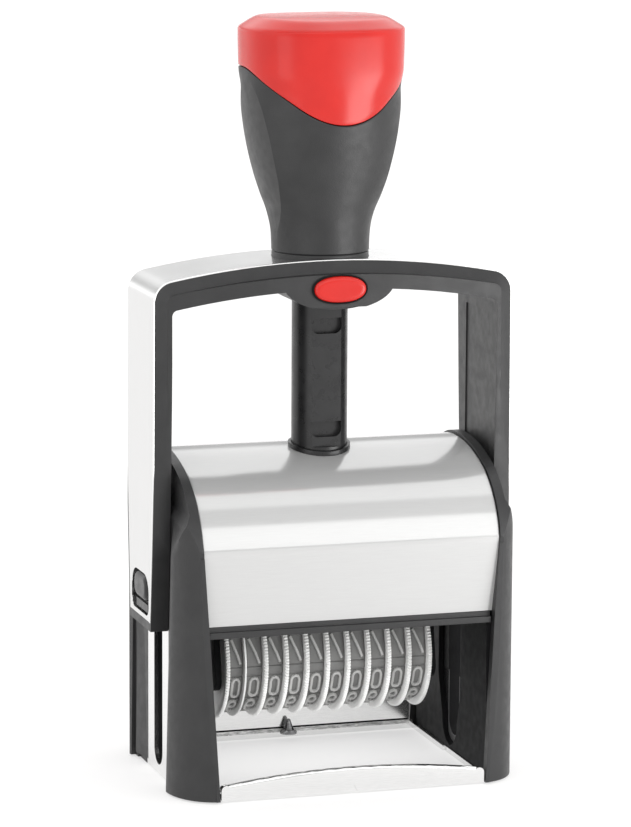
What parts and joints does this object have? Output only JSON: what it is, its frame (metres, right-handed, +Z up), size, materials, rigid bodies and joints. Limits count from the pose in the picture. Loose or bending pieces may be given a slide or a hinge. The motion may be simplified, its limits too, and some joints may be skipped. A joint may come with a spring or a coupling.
{
  "type": "self-inking numbering stamp",
  "caption": "Heavy-duty self-inking numbering stamp with a black bow, satin metal cover, red-capped handle and serrated setting wheels",
  "frame": {"origin": "on the resting plane, under the middle of the base", "axes": "X to the right seen from the front, the lock button faces -Y, Z up along the handle"},
  "size_m": [0.0878, 0.059, 0.1786],
  "materials": {
    "bright_steel": "satin",
    "satin_metal": "satin",
    "dark_steel": "satin",
    "black_plastic": "matte",
    "gloss_black": "gloss",
    "red_plastic": "gloss",
    "light_plastic": "matte",
    "grey_rubber": "matte",
    "felt": "matte"
  },
  "bodies": {
    "base": {"base_frame": "bright_steel", "rear_pointer": "dark_steel", "front_cover": "satin_metal", "cover_trim": "black_plastic", "right_cheek": "black_plastic", "left_cheek": "black_plastic", "right_inner_wall": "gloss_black", "left_inner_wall": "gloss_black", "rear_panel": "black_plastic", "column_yoke": "black_plastic", "column": "black_plastic", "column_collar": "black_plastic", "column_screw": "dark_steel", "yoke_screws": "dark_steel", "pad_rails": "black_plastic"},
    "bow": {"bow_body": "black_plastic", "bow_strip": "satin_metal", "right_pivot_bearing": "black_plastic", "left_pivot_bearing": "black_plastic", "neck_collar": "black_plastic", "handle_grip": "black_plastic", "handle_cap": "red_plastic", "spring_seat": "dark_steel", "return_spring": "dark_steel"},
    "lock": {"lock_button": "red_plastic", "lock_latch": "black_plastic"},
    "numberer": {"left_side_plate": "gloss_black", "right_side_plate": "gloss_black", "print_bar": "dark_steel", "band_separator": "light_plastic", "wheel_shaft": "dark_steel", "flip_axle": "dark_steel", "axle_rollers": "dark_steel", "flip_pins": "dark_steel", "detent_comb": "dark_steel", "number_band_01": "grey_rubber", "number_band_02": "grey_rubber", "number_band_03": "grey_rubber", "number_band_04": "grey_rubber", "number_band_05": "grey_rubber", "number_band_06": "grey_rubber", "number_band_07": "grey_rubber", "number_band_08": "grey_rubber", "number_band_09": "grey_rubber", "number_band_10": "grey_rubber"},
    "tray": {"pad_tray": "black_plastic", "ink_pad": "felt"},
    "wheel_01": {"number_wheel_01": "light_plastic"},
    "wheel_02": {"number_wheel_02": "light_plastic"},
    "wheel_03": {"number_wheel_03": "light_plastic"},
    "wheel_04": {"number_wheel_04": "light_plastic"},
    "wheel_05": {"number_wheel_05": "light_plastic"},
    "wheel_06": {"number_wheel_06": "light_plastic"},
    "wheel_07": {"number_wheel_07": "light_plastic"},
    "wheel_08": {"number_wheel_08": "light_plastic"},
    "wheel_09": {"number_wheel_09": "light_plastic"},
    "wheel_10": {"number_wheel_10": "light_plastic"}
  },
  "joints": [
    {"name": "bow_slide", "type": "slide", "parent": "base", "child": "bow", "axis": [0, 0, -1], "range_m": [0, 0.0335], "stiffness_N_per_m": 400, "springref_m": -0.02, "deforming": ["return_spring"]},
    {"name": "numberer_flip", "type": "hinge", "parent": "bow", "child": "numberer", "pos_m": [0, 0, 0.0454], "axis": [1, 0, 0], "range_deg": [0, 180]},
    {"name": "lock_press", "type": "slide", "parent": "bow", "child": "lock", "axis": [0, 1, 0], "range_m": [0, 0.002], "stiffness_N_per_m": 150, "springref_m": -0.004},
    {"name": "tray_pull", "type": "slide", "parent": "base", "child": "tray", "axis": [0, 1, 0], "range_m": [0, 0.038]},
    {"name": "wheel_01_turn", "type": "hinge", "parent": "numberer", "child": "wheel_01", "pos_m": [0, 0, 0.02735], "axis": [1, 0, 0], "continuous": true},
    {"name": "wheel_02_turn", "type": "hinge", "parent": "numberer", "child": "wheel_02", "pos_m": [0, 0, 0.02735], "axis": [1, 0, 0], "continuous": true},
    {"name": "wheel_03_turn", "type": "hinge", "parent": "numberer", "child": "wheel_03", "pos_m": [0, 0, 0.02735], "axis": [1, 0, 0], "continuous": true},
    {"name": "wheel_04_turn", "type": "hinge", "parent": "numberer", "child": "wheel_04", "pos_m": [0, 0, 0.02735], "axis": [1, 0, 0], "continuous": true},
    {"name": "wheel_05_turn", "type": "hinge", "parent": "numberer", "child": "wheel_05", "pos_m": [0, 0, 0.02735], "axis": [1, 0, 0], "continuous": true},
    {"name": "wheel_06_turn", "type": "hinge", "parent": "numberer", "child": "wheel_06", "pos_m": [0, 0, 0.02735], "axis": [1, 0, 0], "continuous": true},
    {"name": "wheel_07_turn", "type": "hinge", "parent": "numberer", "child": "wheel_07", "pos_m": [0, 0, 0.02735], "axis": [1, 0, 0], "continuous": true},
    {"name": "wheel_08_turn", "type": "hinge", "parent": "numberer", "child": "wheel_08", "pos_m": [0, 0, 0.02735], "axis": [1, 0, 0], "continuous": true},
    {"name": "wheel_09_turn", "type": "hinge", "parent": "numberer", "child": "wheel_09", "pos_m": [0, 0, 0.02735], "axis": [1, 0, 0], "continuous": true},
    {"name": "wheel_10_turn", "type": "hinge", "parent": "numberer", "child": "wheel_10", "pos_m": [0, 0, 0.02735], "axis": [1, 0, 0], "continuous": true}
  ],
  "couplings": [
    {"joint": "numberer_flip", "follows": "bow_slide", "rad_per_m": 93.77}
  ]
}
